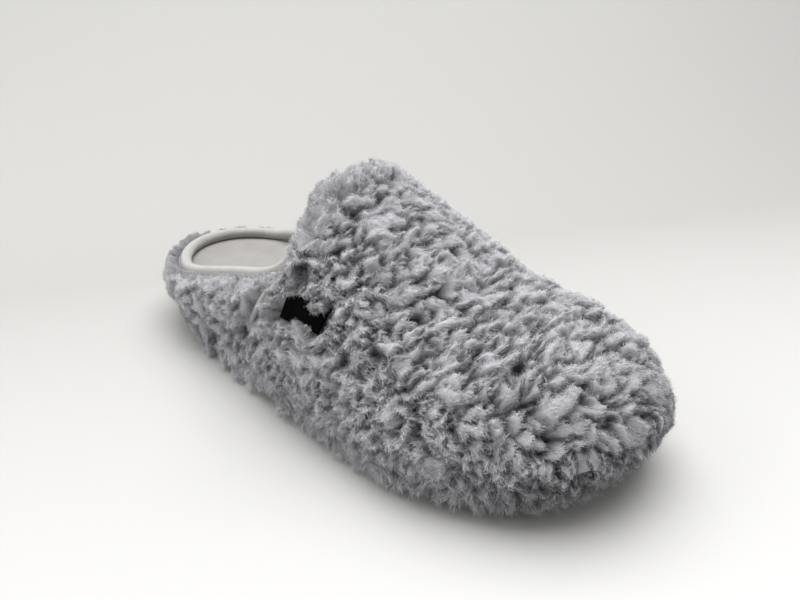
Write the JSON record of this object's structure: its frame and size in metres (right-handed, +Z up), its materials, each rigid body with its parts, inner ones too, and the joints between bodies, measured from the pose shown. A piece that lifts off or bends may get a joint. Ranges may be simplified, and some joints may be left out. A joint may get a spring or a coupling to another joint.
{
  "type": "slipper",
  "caption": "Open-back fleece clog slipper for the right foot, with a shaggy upper over the forefoot, a bound collar, a soft insole and a flat sole.",
  "frame": {"origin": "on the floor under the middle of the slipper's box, length and width halved", "axes": "+X to the toe, +Y to the big-toe side, +Z up"},
  "size_m": [0.2819, 0.1264, 0.1098],
  "materials": {
    "sole": "matt dark grey foam rubber",
    "insole": "brushed warm grey cloth over foam",
    "fleece": "long curly grey pile",
    "binding": "light warm grey folded tape",
    "label": "plain black woven tab"
  },
  "bodies": {
    "root": {"outsole": "sole", "insole": "insole", "upper": "fleece", "collar_binding": "binding", "side_label": "label"}
  },
  "joints": []
}
